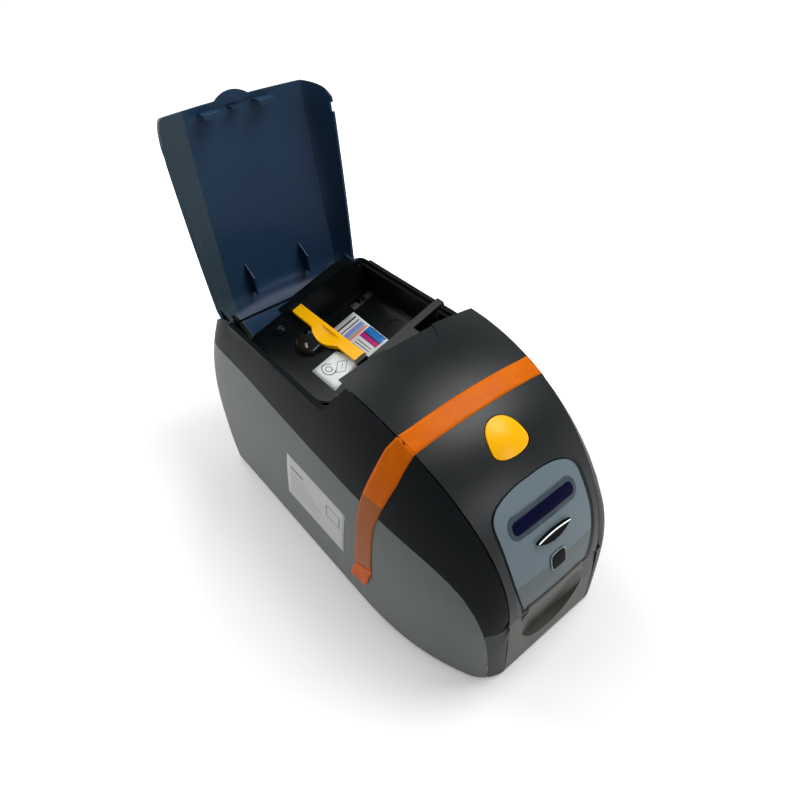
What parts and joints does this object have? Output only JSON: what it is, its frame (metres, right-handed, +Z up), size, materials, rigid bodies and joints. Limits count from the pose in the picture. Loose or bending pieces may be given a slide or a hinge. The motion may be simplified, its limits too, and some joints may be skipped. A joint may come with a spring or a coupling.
{
  "type": "id card printer",
  "caption": "Desktop card printer with a translucent feeder lid, curved top cover with a display panel, output drawer, rollers, ribbon spools and drive inside.",
  "frame": {"origin": "on the table surface the feet stand on, at the middle of the closed printer's footprint", "axes": "+Z up, -Y towards the front with the output drawer, +X to the right as seen from the front"},
  "size_m": [0.199, 0.4009, 0.3571],
  "materials": {
    "grey_panel": "satin grey moulded side panels",
    "dark_cover": "fine textured near-black plastic",
    "base_grey": "satin warm dark grey plastic",
    "panel_blue": "satin blue-grey display panel",
    "lcd": "dark blue display window",
    "yellow": "bright yellow touch points",
    "lid_smoke": "smoked blue translucent plastic",
    "rubber": "soft black rubber",
    "steel": "zinc-plated steel",
    "shaft_steel": "ground steel shafts and pins",
    "trim_chrome": "bright trim",
    "board": "green circuit board",
    "dark_plastic": "black plastic",
    "white_plastic": "natural white plastic gears",
    "socket_metal": "plated socket shells",
    "supply_box": "folded metal can",
    "ribbon_a": "colour ribbon wound on its core",
    "ribbon_b": "used ribbon wound on its core",
    "roller_grey": "grey roller rubber",
    "cleaner": "tacky cleaning roller",
    "head": "print head and its heat sink",
    "button_grey": "grey push key"
  },
  "bodies": {
    "casing": {"lower_casing": "base_grey", "front_cheeks": "base_grey", "side_panel_left": "grey_panel", "side_panel_right": "grey_panel", "upper_casing": "dark_cover", "rear_panel": "base_grey", "feeder_tray": "dark_plastic", "feet": "rubber", "lid_pins": "shaft_steel", "cover_pins": "shaft_steel", "bar_brackets": "dark_plastic", "bar_pin": "shaft_steel", "frame_left": "steel", "frame_right": "steel", "frame_ties": "steel", "card_guide": "dark_plastic", "drive_motor": "supply_box", "drive_belt": "rubber", "base_plate": "steel", "main_board": "board", "power_supply": "supply_box", "power_inlet": "dark_plastic", "data_sockets": "socket_metal", "switch_housing": "dark_plastic", "pick_motor": "supply_box", "casing_screws": "shaft_steel"},
    "lid": {"lid": "lid_smoke"},
    "cover": {"top_cover": "dark_cover", "display_panel": "panel_blue", "lcd_screen": "lcd", "display_board": "board", "print_head": "head", "head_bracket": "steel"},
    "release": {"release_button": "yellow"},
    "latch": {"release_latch": "steel"},
    "control": {"control_button": "button_grey", "button_trim": "trim_chrome"},
    "drawer": {"output_drawer": "base_grey"},
    "guide": {"guide_bar": "yellow"},
    "switch": {"switch_rocker": "dark_plastic"},
    "feed": {"feed_roller": "roller_grey", "feed_shaft": "shaft_steel"},
    "cleaning": {"cleaning_roller": "cleaner", "cleaning_shaft": "shaft_steel"},
    "platen": {"platen_roller": "roller_grey", "platen_shaft": "shaft_steel", "platen_gear": "white_plastic"},
    "eject": {"eject_roller": "roller_grey", "eject_shaft": "shaft_steel"},
    "feed_press": {"feed_pinch": "roller_grey"},
    "eject_press": {"eject_pinch": "roller_grey"},
    "pinion": {"motor_pinion": "white_plastic"},
    "pick": {"pick_roller": "roller_grey"},
    "supply": {"ribbon_supply": "ribbon_a"},
    "takeup": {"ribbon_takeup": "ribbon_b"}
  },
  "joints": [
    {"name": "lid_hinge", "type": "hinge", "parent": "casing", "child": "lid", "pos_m": [0, 0.161, 0.18], "axis": [-1, 0, 0], "range_deg": [-93.6, 0]},
    {"name": "cover_hinge", "type": "hinge", "parent": "casing", "child": "cover", "pos_m": [0, -0.018, 0.209], "axis": [-1, 0, 0], "range_deg": [0, 60]},
    {"name": "release_push", "type": "slide", "parent": "cover", "child": "release", "axis": [0, 0.4823, -0.876], "range_m": [0, 0.003], "stiffness_N_per_m": 600},
    {"name": "latch_swing", "type": "hinge", "parent": "cover", "child": "latch", "pos_m": [0, -0.132, 0.16], "axis": [-1, 0, 0], "range_deg": [0, 7.8]},
    {"name": "control_push", "type": "slide", "parent": "cover", "child": "control", "axis": [0, 0.9111, -0.4121], "range_m": [0, 0.0003], "stiffness_N_per_m": 900},
    {"name": "drawer_slide", "type": "slide", "parent": "casing", "child": "drawer", "axis": [0, -1, 0], "range_m": [0, 0.085]},
    {"name": "guide_tilt", "type": "hinge", "parent": "casing", "child": "guide", "pos_m": [-0.01708, 0.0865, 0.17771], "axis": [0, -1, 0], "range_deg": [0, 10], "stiffness_Nm_per_rad": 0.05},
    {"name": "switch_rock", "type": "hinge", "parent": "casing", "child": "switch", "pos_m": [-0.022, 0.178, 0.04], "axis": [0, 0, 1], "range_deg": [-16, 0]},
    {"name": "platen_spin", "type": "hinge", "parent": "casing", "child": "platen", "pos_m": [0, -0.05278, 0.10419], "axis": [1, 0, 0], "continuous": true},
    {"name": "feed_spin", "type": "hinge", "parent": "casing", "child": "feed", "pos_m": [0, 0.02223, 0.12591], "axis": [1, 0, 0], "continuous": true},
    {"name": "cleaning_spin", "type": "hinge", "parent": "casing", "child": "cleaning", "pos_m": [0, -0.01277, 0.11577], "axis": [1, 0, 0], "continuous": true},
    {"name": "eject_spin", "type": "hinge", "parent": "casing", "child": "eject", "pos_m": [0, -0.14777, 0.07668], "axis": [1, 0, 0], "continuous": true},
    {"name": "feed_press_spin", "type": "hinge", "parent": "casing", "child": "feed_press", "pos_m": [0, 0.01811, 0.14012], "axis": [1, 0, 0], "continuous": true},
    {"name": "eject_press_spin", "type": "hinge", "parent": "casing", "child": "eject_press", "pos_m": [0, -0.15189, 0.0909], "axis": [1, 0, 0], "continuous": true},
    {"name": "pinion_spin", "type": "hinge", "parent": "casing", "child": "pinion", "pos_m": [0, -0.03552, 0.09577], "axis": [1, 0, 0], "continuous": true},
    {"name": "pick_spin", "type": "hinge", "parent": "casing", "child": "pick", "pos_m": [0.0131, 0.136, 0.13716], "axis": [0.9563, 0, 0.2924], "continuous": true},
    {"name": "supply_spin", "type": "hinge", "parent": "casing", "child": "supply", "pos_m": [0, -0.022, 0.16], "axis": [1, 0, 0], "continuous": true},
    {"name": "takeup_spin", "type": "hinge", "parent": "casing", "child": "takeup", "pos_m": [0, -0.112, 0.113], "axis": [1, 0, 0], "continuous": true}
  ],
  "couplings": [
    {"joint": "latch_swing", "follows": "release_push", "rad_per_m": 45.38},
    {"joint": "feed_spin", "follows": "platen_spin", "ratio": 1},
    {"joint": "cleaning_spin", "follows": "platen_spin", "ratio": 1},
    {"joint": "eject_spin", "follows": "platen_spin", "ratio": 1},
    {"joint": "pinion_spin", "follows": "platen_spin", "ratio": -3},
    {"joint": "takeup_spin", "follows": "supply_spin", "ratio": 1.75}
  ]
}
